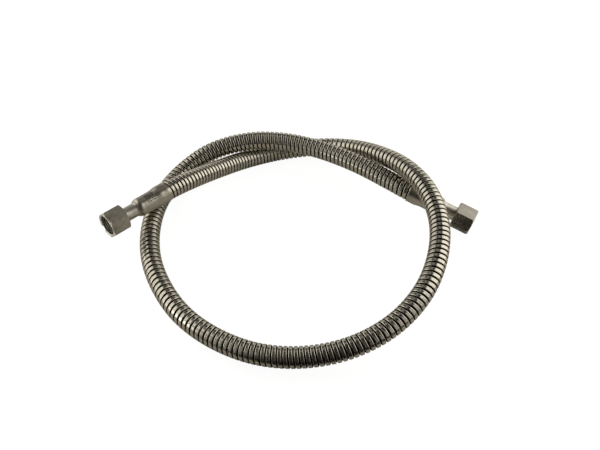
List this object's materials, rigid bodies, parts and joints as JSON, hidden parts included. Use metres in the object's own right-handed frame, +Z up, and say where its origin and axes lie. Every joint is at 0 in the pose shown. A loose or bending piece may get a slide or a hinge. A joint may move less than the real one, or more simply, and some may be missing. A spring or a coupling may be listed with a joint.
{
  "type": "cryogenic hose",
  "caption": "Flexible metal transfer hose in a strip-wound armour casing, with a ferrule, tube neck and hexagonal swivel nut at each end, lying in one tucked loop.",
  "frame": {"origin": "on the floor under the middle of the outline of the hose as it lies", "axes": "+Z up, +X from the end with the ferrule on top (a) to the end with the ferrule underneath (b), +Y towards the side where the hose crosses itself"},
  "size_m": [0.3379, 0.2747, 0.0553],
  "materials": {
    "casing": "satin, strip wound",
    "braid": "woven wire",
    "hose": "bright",
    "ferrule": "satin",
    "turned": "turned",
    "neck": "satin",
    "nut": "satin"
  },
  "bodies": {
    "hose": {"armour_casing": "casing", "braid_sleeve": "braid", "inner_hose": "hose", "armour_ferrule_a": "ferrule", "braid_collar_a": "turned", "hose_adapter_a": "turned", "neck_tube_a": "neck", "armour_ferrule_b": "ferrule", "braid_collar_b": "turned", "hose_adapter_b": "turned", "neck_tube_b": "neck"},
    "nut_a": {"swivel_nut_a": "nut"},
    "nut_b": {"swivel_nut_b": "nut"}
  },
  "joints": [
    {"name": "nut_a_spin", "type": "hinge", "parent": "hose", "child": "nut_a", "pos_m": [-0.15462, 0.00509, 0.02891], "axis": [-0.7153, -0.6986, 0.0166], "continuous": true},
    {"name": "nut_b_spin", "type": "hinge", "parent": "hose", "child": "nut_b", "pos_m": [0.15598, 0.02421, 0.01336], "axis": [0.8715, -0.4482, -0.1992], "continuous": true}
  ]
}
